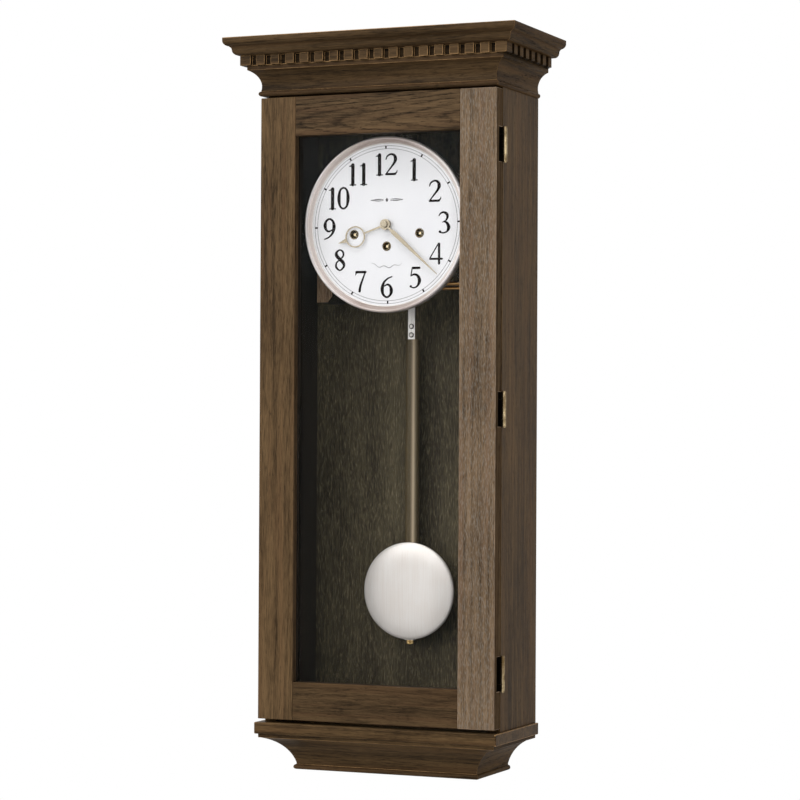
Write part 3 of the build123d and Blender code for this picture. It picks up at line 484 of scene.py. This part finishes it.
THICK = 0.155  # pen widths, as shares of a digit's height
THIN = 0.075
PEN = 0.015  # added to every stroke
SIX = [
    (0.55, 0.96, 0.04), (0.33, 0.87, 0.06), (0.14, 0.68, 0.1), (0.065, 0.4, THICK), (0.12, 0.14, 0.1),
    (0.3, 0.02, THIN), (0.47, 0.13, 0.1), (0.52, 0.33, THICK), (0.46, 0.52, 0.1), (0.32, 0.6, THIN),
    (0.11, 0.5, 0.03),
]
DIGITS = {  # each digit's width, then its strokes: points of (x, height, pen width), and whether they close
    "0": (0.58, [
        ([(0.29, 0.98, THIN), (0.46, 0.86, 0.09), (0.52, 0.5, THICK), (0.46, 0.14, 0.09), (0.29, 0.02, THIN),
          (0.12, 0.14, 0.09), (0.06, 0.5, THICK), (0.12, 0.86, 0.09)], True),
    ]),
    "1": (0.36, [
        ([(0.19, 0.94, THICK), (0.19, 0.04, THICK)], False),
        ([(0.02, 0.88, 0.03), (0.12, 0.91, 0.06), (0.2, 0.97, 0.08)], False),
        ([(0.05, 0.02, 0.04), (0.34, 0.02, 0.04)], False),
    ]),
    "2": (0.61, [
        ([(0.04, 0.73, 0.04), (0.1, 0.87, 0.06), (0.28, 0.96, 0.075), (0.45, 0.9, 0.11), (0.51, 0.73, THICK),
          (0.43, 0.53, 0.1), (0.22, 0.27, 0.06), (0.06, 0.07, 0.05)], False),
        ([(0.05, 0.045, 0.09), (0.5, 0.045, 0.09)], False),
        ([(0.5, 0.05, 0.08), (0.58, 0.13, 0.04), (0.6, 0.21, 0.02)], False),
    ]),
    "3": (0.56, [
        ([(0.02, 0.81, 0.03), (0.1, 0.92, 0.06), (0.25, 0.97, 0.08), (0.4, 0.89, 0.12), (0.44, 0.76, 0.1),
          (0.36, 0.6, 0.06), (0.2, 0.52, 0.03)], False),
        ([(0.3, 0.54, 0.06), (0.42, 0.47, 0.11), (0.5, 0.28, THICK), (0.42, 0.1, 0.08), (0.24, 0.03, 0.05),
          (0.08, 0.06, 0.06)], False),
        (ball(0.07, 0.085, 0.055), False),
    ]),
    "4": (0.645, [
        ([(0.47, 0.94, 0.1), (0.47, 0.05, 0.1)], False),
        ([(0.44, 0.97, 0.04), (0.02, 0.3, 0.04)], False),
        ([(0.03, 0.265, 0.08), (0.61, 0.265, 0.08)], False),
    ]),
    "5": (0.56, [
        ([(0.16, 0.93, 0.1), (0.48, 0.93, 0.1)], False),
        ([(0.13, 0.94, 0.04), (0.07, 0.6, 0.04)], False),
        ([(0.07, 0.57, 0.04), (0.22, 0.635, 0.08), (0.4, 0.57, 0.11), (0.49, 0.35, THICK), (0.4, 0.12, 0.08),
          (0.22, 0.025, 0.05), (0.07, 0.07, 0.05)], False),
        (ball(0.06, 0.09, 0.05), False),
    ]),
    "6": (0.58, [(SIX, False)]),
    "7": (0.56, [
        ([(0.06, 0.94, 0.1), (0.52, 0.94, 0.1)], False),
        ([(0.02, 0.8, 0.02), (0.035, 0.86, 0.05), (0.07, 0.93, 0.09)], False),
        ([(0.51, 0.93, 0.05), (0.38, 0.6, 0.075), (0.27, 0.3, 0.095), (0.23, 0.06, 0.11)], False),
    ]),
    "8": (0.53, [
        ([(0.265, 0.97, 0.055), (0.1, 0.87, 0.1), (0.09, 0.72, THICK), (0.25, 0.55, 0.14), (0.43, 0.38, 0.14),
          (0.46, 0.2, 0.1), (0.27, 0.03, 0.055), (0.08, 0.17, 0.09), (0.09, 0.37, 0.07), (0.25, 0.52, 0.05),
          (0.42, 0.68, 0.07), (0.42, 0.86, 0.08)], True),
    ]),
}
DIGITS["9"] = (0.58, [([(0.58 - x, 1 - z, w) for x, z, w in SIX], False)])
NUMERAL = 26.3 * MM  # height of a digit
INK = 0.08 * MM  # thickness of the printing
BEARING = {"0": 0.0, "1": 0.095, "2": 0.02}  # the room beside a digit in a pair
NUMERAL_RING = 75.0  # radius of the single numerals' middles, in millimetres
PAIR_RING = 72.5  # the same for 10, 11 and 12
PRINT_TURN = math.radians(1.0)  # the numerals and hour marks, anticlockwise
PRINT_SHIFT = -1.0  # all the numerals to the left, in millimetres
NUDGES = {  # single numerals to the right and up, in millimetres
    2: (-0.5, 0.5), 3: (1.0, -0.6), 7: (3.2, -2.6), 8: (3.4, -3.0), 9: (0.0, -2.4), 10: (0.8, -1.4),
    12: (1.6, 0.6),
}


def numerals(work):
    """The twelve hours, each upright at its place."""
    for hour in range(1, 13):
        text = str(hour)
        gaps = [BEARING[left] + BEARING[right] for left, right in zip(text, text[1:])] + [0.0]
        width = sum(DIGITS[character][0] for character in text) + sum(gaps)
        radius = (NUMERAL_RING if hour < 10 else PAIR_RING) * MM
        angle = math.radians(30 * hour) - PRINT_TURN
        aside, above = NUDGES.get(hour, (0.0, 0.0))
        left = DIAL_X + radius * math.sin(angle) + (aside + PRINT_SHIFT) * MM - width * NUMERAL / 2
        foot = DIAL_Z + radius * math.cos(angle) + above * MM - NUMERAL / 2
        for character, gap in zip(text, gaps):
            wide, strokes = DIGITS[character]
            for layer, (points, closed) in enumerate(strokes):
                points = [(x, z, stroke + PEN) for x, z, stroke in points]
                brush(work, points, (left, foot), NUMERAL, DIAL_Y - INK * (1 + layer * 0.15), INK, closed)
            left += (wide + gap) * NUMERAL


def ring(work, inner, outer, front, back, segments=180):
    """A flat ring about the dial's centre."""
    rows = []
    for k in range(segments):
        angle = 2 * math.pi * k / segments
        row = []
        for radius, y in ((inner, front), (outer, front), (outer, back), (inner, back)):
            place = (DIAL_X + radius * math.sin(angle), y, DIAL_Z + radius * math.cos(angle))
            row.append(work.verts.new(place))
        rows.append(row)
    for k in range(segments):
        a, b = rows[k], rows[(k + 1) % segments]
        for corner in range(4):
            after = (corner + 1) % 4
            work.faces.new((a[corner], a[after], b[after], b[corner]))


TRACK = (92.0, 95.5)  # radii of its circles, in millimetres
TRACK_HALF_WIDTH = 0.28  # half a circle's line
MARK_GAP = 0.4  # between an hour mark and the circles
MARK_WIDTH = 1.1 * MM


def track(work):
    """Two thin circles round the numerals."""
    for radius in TRACK:
        ring(work, (radius - TRACK_HALF_WIDTH) * MM, (radius + TRACK_HALF_WIDTH) * MM, DIAL_Y - INK, DIAL_Y)


def hour_marks(work):
    """Twelve short strokes between the track's circles."""
    reach = (TRACK[0] + MARK_GAP, TRACK[1] - MARK_GAP)
    for hour in range(12):
        angle = math.radians(30 * hour) - PRINT_TURN
        ends = [(r * MM * math.sin(angle), r * MM * math.cos(angle), MARK_WIDTH) for r in reach]
        brush(work, ends, (DIAL_X, DIAL_Z), 1.0, DIAL_Y - INK * 1.3, INK * 1.3)


def ornament(work):
    """A small generic ornament above the centre: a lozenge between two pairs of tapering bars."""
    place = (DIAL_X, DIAL_Z + 30 * MM)
    for side in (-1, 1):
        for row in (-0.7, 0.7):
            bar = [(side * 4.5, row, 0.5), (side * 12, row * 1.3, 1.1), (side * 21, row * 0.3, 0.4)]
            brush(work, bar, place, MM, DIAL_Y - INK, INK)
    brush(work, [(0, -2.4, 0.4), (0, 0, 3.4), (0, 2.4, 0.4)], place, MM, DIAL_Y - INK * 1.3, INK)


def flourish(work):
    """A pale wavy flourish below the centre."""
    place = (DIAL_X, DIAL_Z - 50 * MM)
    waves = []
    for k in range(25):
        share = k / 24
        x = -20 + 40 * share
        z = 1.3 * math.sin(share * 6 * math.pi) - 5.0 * (1 - (x / 22) ** 2) + 4
        waves.append((x, z, 0.25 + 0.35 * math.sin(share * math.pi)))
    brush(work, waves, place, MM, DIAL_Y - INK, INK, steps=4)


def lathe(work, profile, centre, segments=64):
    """A closed ring turned about an axis along Y from (radius, y) points in millimetres."""
    rows = []
    for k in range(segments):
        angle = 2 * math.pi * k / segments
        row = []
        for radius, y in profile:
            x = centre[0] + radius * MM * math.sin(angle)
            z = centre[1] + radius * MM * math.cos(angle)
            row.append(work.verts.new((x, y * MM, z)))
        rows.append(row)
    count = len(profile)
    for k in range(segments):
        a, b = rows[k], rows[(k + 1) % segments]
        for corner in range(count):
            after = (corner + 1) % count
            face = work.faces.new((a[corner], a[after], b[after], b[corner]))
            face.smooth = True


BEZEL_LOW, BEZEL_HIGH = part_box("dial_bezel")
BEZEL_FRONT = BEZEL_LOW.y / MM
BEZEL_BACK = BEZEL_HIGH.y / MM
DIAL_FACE = DIAL_Y / MM - 0.05
BEZEL_SEGMENTS = 240


def bezel_rim(work):
    """The bezel's rolled outer edge, which laps over the dial plate."""
    front = BEZEL_FRONT
    profile = [
        (105.4, BEZEL_BACK), (106.4, BEZEL_BACK), (106.4, front + 2.2), (106.2, front + 1.3),
        (105.7, front + 0.6), (105.0, front + 0.15), (104.3, front), (103.6, front + 0.15),
        (103.1, front + 0.6), (102.9, front + 1.2), (102.9, DIAL_FACE), (105.4, DIAL_FACE),
    ]
    lathe(work, profile, (DIAL_X, DIAL_Z), BEZEL_SEGMENTS)


def bezel_band(work):
    """The bezel's brushed slope, from the rolled edge down to the bead on the dial."""
    profile = [
        (98.9, DIAL_FACE), (99.0, DIAL_FACE - 1.3), (100.2, DIAL_FACE - 3.0), (101.6, DIAL_FACE - 5.0),
        (103.0, BEZEL_FRONT + 0.9), (103.0, DIAL_FACE),
    ]
    lathe(work, profile, (DIAL_X, DIAL_Z), BEZEL_SEGMENTS)


def bezel_bead(work):
    """A thin polished bead where the bezel meets the dial."""
    profile = [
        (97.9, DIAL_FACE), (97.9, DIAL_FACE - 0.6), (98.2, DIAL_FACE - 1.1), (98.6, DIAL_FACE - 1.3),
        (99.0, DIAL_FACE - 1.2), (99.1, DIAL_FACE - 0.8), (99.0, DIAL_FACE),
    ]
    lathe(work, profile, (DIAL_X, DIAL_Z), BEZEL_SEGMENTS)


WINDING_ARBORS = ("winding_arbor_strike", "winding_arbor_time", "winding_arbor_chime")


def grommets(work):
    """A rolled rim round each winding hole."""
    front = DIAL_Y / MM
    profile = [
        (4.35, front + 0.9), (4.35, front - 0.3), (4.6, front - 0.6), (5.1, front - 0.7), (5.6, front - 0.5),
        (5.8, front - 0.02), (5.0, front - 0.02), (4.42, front - 0.02), (4.42, front + 0.9),
    ]
    for node in WINDING_ARBORS:
        low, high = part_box(node)
        lathe(work, profile, ((low.x + high.x) / 2, (low.z + high.z) / 2))


def countersinks(work):
    """Rings of painted shadow round the leader's two screws, in their countersinks, just in front of the
    leader.
    """
    low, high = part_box("leader_screws")
    radius = (high.x - low.x) / 2 / MM
    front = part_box("pendulum_leader")[0].y / MM
    profile = [
        (radius - 0.5, front - 0.02), (radius - 0.5, front - 1.5), (radius + 0.2, front - 1.3),
        (radius + 0.6, front - 0.02),
    ]
    for height in (low.z + radius * MM, high.z - radius * MM):
        lathe(work, profile, ((low.x + high.x) / 2, height), 32)


# --- faces that take a second finish ------------------------------------------------


FACING = 0.9  # the cosine above which a face looks along an axis
LEAF_ASIDE = 2.2 * MM  # from the hinge pins' axis to where the leaves are flat
RECESS = 0.5 * MM  # the least depth of a gap between blocks


def edge_side(face):
    """The faces of a stile's narrow edges, which take a darker, greyer oak than its front."""
    return abs(face.normal.x) > FACING


def off_front(face):
    """The faces of a block that don't look out of the clock."""
    return face.normal.y > -FACING


def inner_side(face):
    """The face of a side panel that lines the case."""
    return face.normal.x * face.calc_center_median().x < 0 and abs(face.normal.x) > FACING


def hinge_leaf(face):
    """The hinges' flat leaves, to the left of their barrels."""
    low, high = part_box("hinge_pins")
    return face.calc_center_median().x < (low.x + high.x) / 2 - LEAF_ASIDE


def arbor_side(face):
    """The faces of a winding square that run back into the movement."""
    return abs(face.normal.y) < FACING


def recess_of(node):
    """A test for the faces between a toothed strip's blocks, which take a painted shade."""
    low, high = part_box(node)

    def deep(face):
        middle = face.calc_center_median()
        if node == "dentil_front":
            return middle.y > low.y + RECESS
        return abs(middle.x) < high.x - RECESS

    return deep


# --- assembly of the looks ----------------------------------------------------------


def camera():
    """The viewing angle: from the right of centre, slightly rising. The angles are in radians."""
    yaw, pitch, roll = 0.4048, 0.011, 0.005
    place = (1.2776, -3.0476, -0.373)
    forward = Vector((-math.sin(yaw) * math.cos(pitch), math.cos(yaw) * math.cos(pitch), math.sin(pitch)))
    right = Vector((math.cos(yaw), math.sin(yaw), 0))
    up = right.cross(forward)
    side = right * math.cos(roll) + up * math.sin(roll)
    top = up * math.cos(roll) - right * math.sin(roll)
    data = bpy.data.cameras.new("camera")
    data.lens = 119.42
    data.sensor_width = 36.0
    data.clip_end = 50.0
    made = bpy.data.objects.new("camera", data)
    turn = Matrix((side, top, -forward)).transposed().to_4x4()
    made.matrix_world = Matrix.Translation(place) @ turn
    bpy.context.scene.collection.objects.link(made)
    bpy.context.scene.camera = made


def area_light(name, place, aim, size, power):
    """A white rectangular light, turned to its aim. Its power is in watts."""
    data = bpy.data.lights.new(name, "AREA")
    data.shape = "RECTANGLE"
    data.size, data.size_y = size
    data.energy = power
    made = bpy.data.objects.new(name, data)
    made.location = place
    made.rotation_euler = (Vector(aim) - Vector(place)).to_track_quat("-Z", "Y").to_euler()
    bpy.context.scene.collection.objects.link(made)


FLOOR_DROP = 1.2  # from the clock's lowest point, in metres
FLOOR_REACH = 6  # half the floor's width, in metres


DIM_WAY = (0.8, -0.6, -0.15)  # the middle of the surround's dimmer part
DIM_COSINES = (-0.1, 0.6)  # of the angle to it, where the dimming starts and ends
DIM_STRENGTHS = (1.0, 0.45)


def studio():
    """Soft studio: a white surround that is dimmer on the right, a broad panel, an overhead light, a strip
    and a pale floor."""
    scene = bpy.context.scene
    scene.view_settings.view_transform = "Standard"
    world = bpy.data.worlds.new("surround")
    scene.world = world
    world.use_nodes = True
    tree = world.node_tree
    back = tree.nodes["Background"]
    back.inputs["Color"].default_value = (1.0, 1.0, 1.0, 1.0)
    toward = tree.nodes.new("ShaderNodeVectorMath")
    toward.operation = "DOT_PRODUCT"
    toward.inputs[1].default_value = Vector(DIM_WAY).normalized()
    tree.links.new(tree.nodes.new("ShaderNodeTexCoord").outputs["Generated"], toward.inputs[0])
    dim = tree.nodes.new("ShaderNodeMapRange")
    for socket, value in zip(dim.inputs[1:5], DIM_COSINES + DIM_STRENGTHS):
        socket.default_value = value
    tree.links.new(toward.outputs["Value"], dim.inputs[0])
    tree.links.new(dim.outputs[0], back.inputs["Strength"])
    area_light("panel", (-0.9, -2.5, 0.75), (0, 0, -0.4), (3.2, 1.7), 36)
    area_light("overhead", (-0.3, -1.3, 2.2), (0, 0, -0.3), (2.0, 1.0), 30)
    area_light("strip", (1.5, -2.0, -0.35), (0, 0, -0.35), (0.22, 1.8), 9)
    floor = bpy.data.meshes.new("floor")
    level = cad_box[0].z - FLOOR_DROP
    corners = [(x * FLOOR_REACH, y * FLOOR_REACH, level) for x, y in ((-1, -1), (1, -1), (1, 1), (-1, 1))]
    floor.from_pydata(corners, [], [(0, 1, 2, 3)])
    piece = bpy.data.objects.new("floor", floor)
    paint = grained_paint("floor_paint", (0.62, 0.62, 0.62, 1), (0.58, 0.58, 0.58, 1), 0.9, 40, 0.1)
    floor.materials.append(paint)
    scene.collection.objects.link(piece)


ARRIS = 0.7 * MM  # radius of a door's or panel's rounded edges
MOULDING_ARRIS = 0.9 * MM
FINE_ARRIS = 0.6 * MM


def woodwork():
    """Every board as an eased copy with its own cut of oak."""
    inside = oak("side_panel_left", "z", 20.0, 0.2, 0.5, name="inside_dark")
    # A paler oak for the mouldings' rounded edges: wear, and a painted highlight along them.
    wear_and_painted_light = oak("crown_frieze", "x", 21.0, 1.5, name="edge_wear_and_highlight")
    # Painted shade for the faces in the dentils' gaps, where little light reaches.
    recess_shade = oak("crown_frieze", "x", 22.0, 0.12, gloss=0.02, name="painted_recess_shade")
    for seed, node in enumerate(("side_panel_left", "side_panel_right")):
        panel = oak(node, "z", 1.3 + seed, 0.45, -0.1, 0.03, figure=0.5)
        eased(node, panel, ARRIS, inside, inner_side)
    # A paler oak for the right stile's rounded edges: wear, and a painted highlight along them.
    arris = oak("door_stile_right", "z", 9.5, 1.7, 0.4, name="arris_wear_and_highlight")
    stiles = (
        ("door_stile_left", 0.53, 0.05, 0.35, 0.0, None),
        ("door_stile_right", 0.86, 0.26, 0.15, 0.35, arris),
    )
    for seed, (node, share, grey, figure, fleck, edge) in enumerate(stiles):
        edge_oak = oak(node, "z", 3.3 + seed, 0.5, 0.2, 0.0, name=node + "_edge_oak")
        front = oak(node, "z", 5.1 + 2.4 * seed, share, grey, figure=figure, fleck=fleck)
        eased(node, front, ARRIS, edge_oak, edge_side, edge)
    rail_top = oak("door_rail_top", "x", 11.2, 0.46, 0.08, lean=0.05, figure=0.7)
    eased("door_rail_top", rail_top, ARRIS)
    rail_bottom = oak("door_rail_bottom", "x", 13.1, 0.36, 0.05, spacing=9.0, lean=0.12)
    eased("door_rail_bottom", rail_bottom, ARRIS)
    crown = ("case_top_board", "crown_frieze", "crown_top_board", "crown_cap_front", "crown_cove_front")
    for seed, node in enumerate(crown):
        eased(node, oak(node, "x", 15.0 + 1.37 * seed, 0.31, spacing=5.0), MOULDING_ARRIS, edge=wear_and_painted_light)
    dentils = oak("dentil_front", "x", 23.0, 0.43)
    eased("dentil_front", dentils, FINE_ARRIS, recess_shade, recess_of("dentil_front"), wear_and_painted_light)
    for seed, (node, share) in enumerate((("base_board", 0.46), ("base_moulding_front", 0.39))):
        eased(node, oak(node, "x", 25.0 + 1.37 * seed, share, spacing=5.0), MOULDING_ARRIS, edge=wear_and_painted_light)
    for seed, node in enumerate(("crown_cap_returns", "crown_cove_returns", "base_moulding_returns")):
        end_oak = oak(node, "y", 31.0 + 1.7 * seed, 0.34, -0.2, 0.02, spacing=6.0, figure=0.6)
        eased(node, end_oak, FINE_ARRIS)
    dentils = oak("dentil_returns", "y", 37.0, 0.34, -0.2, 0.02)
    eased("dentil_returns", dentils, FINE_ARRIS, recess_shade, recess_of("dentil_returns"))
    eased("pendulum_stick", stick_oak(), FINE_ARRIS)
    eased("movement_arms", oak("movement_arms", "z", 43.0, 2.4, 0.3), FINE_ARRIS, inside, off_front)
    eased("glass_retainers", inside, 0.3 * MM)
    finish_node("back_panel", veneer())
    finish_node("hanging_rail", oak("hanging_rail", "x", 47.0, 0.7, 0.3))


def shared_metals():
    """The finishes that whole material slots share."""
    finishes = {
        "brass": brushed("satin_brass", linear(236, 204, 140), linear(196, 162, 104), 0.32, (1200, 1200, 60)),
        "steel": brushed("plain_steel", linear(190, 190, 188), linear(140, 140, 140), 0.34, (60, 1400, 1400)),
        "rod_brass": brushed("drawn_brass", linear(226, 178, 112), linear(184, 134, 78), 0.3, ROD_LINES),
        "hands": brushed("hand_metal", linear(196, 184, 162), linear(150, 140, 120), 0.4, EVEN_LINES, 0.85),
    }
    for node in BODY_OF:
        if slot_of(node) in finishes:
            finish_node(node, finishes[slot_of(node)])


def pendulum_metal():
    """The leader with its two screws, and the bob."""
    nickel = brushed("satin_nickel", linear(252, 250, 246), linear(234, 230, 224), 0.32, LEADER_LINES, 0.4)
    finish_node("pendulum_leader", nickel)
    screw = brushed("screw_steel", linear(226, 222, 216), linear(190, 186, 180), 0.3, FINE_LINES, 0.6)
    finish_node("leader_screws", screw)
    # Painted shadow: near-black rings where the screws' countersinks are dark.
    dark = brushed("screw_countersink_shadow", linear(40, 36, 32), linear(24, 22, 20), 0.5, EVEN_LINES)
    new_piece("screw_countersink_shadows", countersinks, dark, BODY_OF["leader_screws"])
    bob = brushed("bob_nickel", linear(255, 252, 248), linear(240, 231, 223), 0.36, BOB_LINES, 0.32)
    finish_node("pendulum_bob", bob)


def bezel():
    """The bezel as three turned rings, of which the first stands for the CAD ring."""
    # Each ring's paler colour is its painted reflection to the left and right. Its darker colour is the
    # painted shade above and below, and the brush lines' darker tone.
    rim = turned("bezel_rim_nickel", linear(255, 250, 248), linear(184, 168, 160), 0.3, 0.25)
    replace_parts(new_piece("bezel_rim", bezel_rim, rim, "case"), "dial_bezel")
    band = turned("bezel_nickel", linear(252, 240, 234), linear(158, 140, 130), 0.34, 0.3)
    new_piece("bezel_band", bezel_band, band, "case")
    bead = turned("bezel_bead_nickel", linear(248, 246, 244), linear(232, 228, 222), 0.25, 0.3)
    new_piece("bezel_bead", bezel_bead, bead, "case")


def hinges():
    """The hinges: aged brass pins and barrels, and leaves in painted shadow."""
    brass = aged_brass()
    finish_node("hinge_pins", brass)
    # Painted shadow: the leaves are near black, for the dark gap they sit in between door and case.
    leaf_shadow = brushed("hinge_leaf_shadow", linear(34, 28, 20), linear(22, 18, 12), 0.5, (1200, 1200, 80))
    for node in ("hinge_door_leaves", "hinge_case_leaves"):
        eased(node, brass, 0.12 * MM, leaf_shadow, hinge_leaf)


def winding_squares():
    """The winding squares: ends with a painted glint, and sides and edges in painted shade."""
    # Painted shade on the sides and edges, for the dark holes the squares stand in.
    shade = brushed("arbor_shade", linear(48, 40, 28), linear(30, 25, 18), 0.5, EVEN_LINES)
    # Painted glint: the squares' ends are bright and warm.
    bright = brushed("arbor_end_glint", linear(250, 232, 190), linear(226, 204, 160), 0.3, EVEN_LINES, 0.3)
    for node in WINDING_ARBORS:
        eased(node, bright, 0.45 * MM, shade, arbor_side, shade)


def painted_metal():
    """The chime rods' iron block and the catch's housing."""
    iron = grained_paint("iron_paint", linear(34, 33, 32), linear(24, 23, 22), 0.5, 500, 0.1)
    finish_node("chime_block", iron)
    housing = grained_paint("magnet_housing", linear(40, 38, 36), linear(26, 25, 24), 0.45, 700, 0.05)
    finish_node("catch_magnet", housing)


def dial():
    """The painted dial and its printing, and the rims of the winding holes."""
    paint = grained_paint("dial_paint", linear(241, 241, 243), linear(234, 234, 237), 0.5, 900, 0.03)
    finish_node("dial_plate", paint)
    ink = grained_paint("black_ink", linear(24, 15, 15), linear(14, 8, 8), 0.7, 600, 0.02, 0.1)
    grey = grained_paint("grey_ink", linear(140, 140, 142), linear(122, 122, 124), 0.55, 600, 0.02)
    new_piece("dial_numerals", numerals, ink, "case")
    new_piece("dial_hour_marks", hour_marks, ink, "case")
    new_piece("dial_track", track, grey, "case")
    soft = grained_paint("soft_ink", linear(70, 66, 66), linear(54, 50, 50), 0.55, 600, 0.02)
    new_piece("dial_ornament", ornament, soft, "case")
    new_piece("dial_flourish", flourish, soft, "case")
    rim = brushed("grommet_brass", linear(150, 134, 106), linear(70, 60, 44), 0.35, (800, 800, 800))
    new_piece("winding_grommets", grommets, rim, "case")


camera()
studio()
woodwork()
shared_metals()
pendulum_metal()
bezel()
hinges()
winding_squares()
painted_metal()
finish_node("door_glass", clear_glass())
dial()
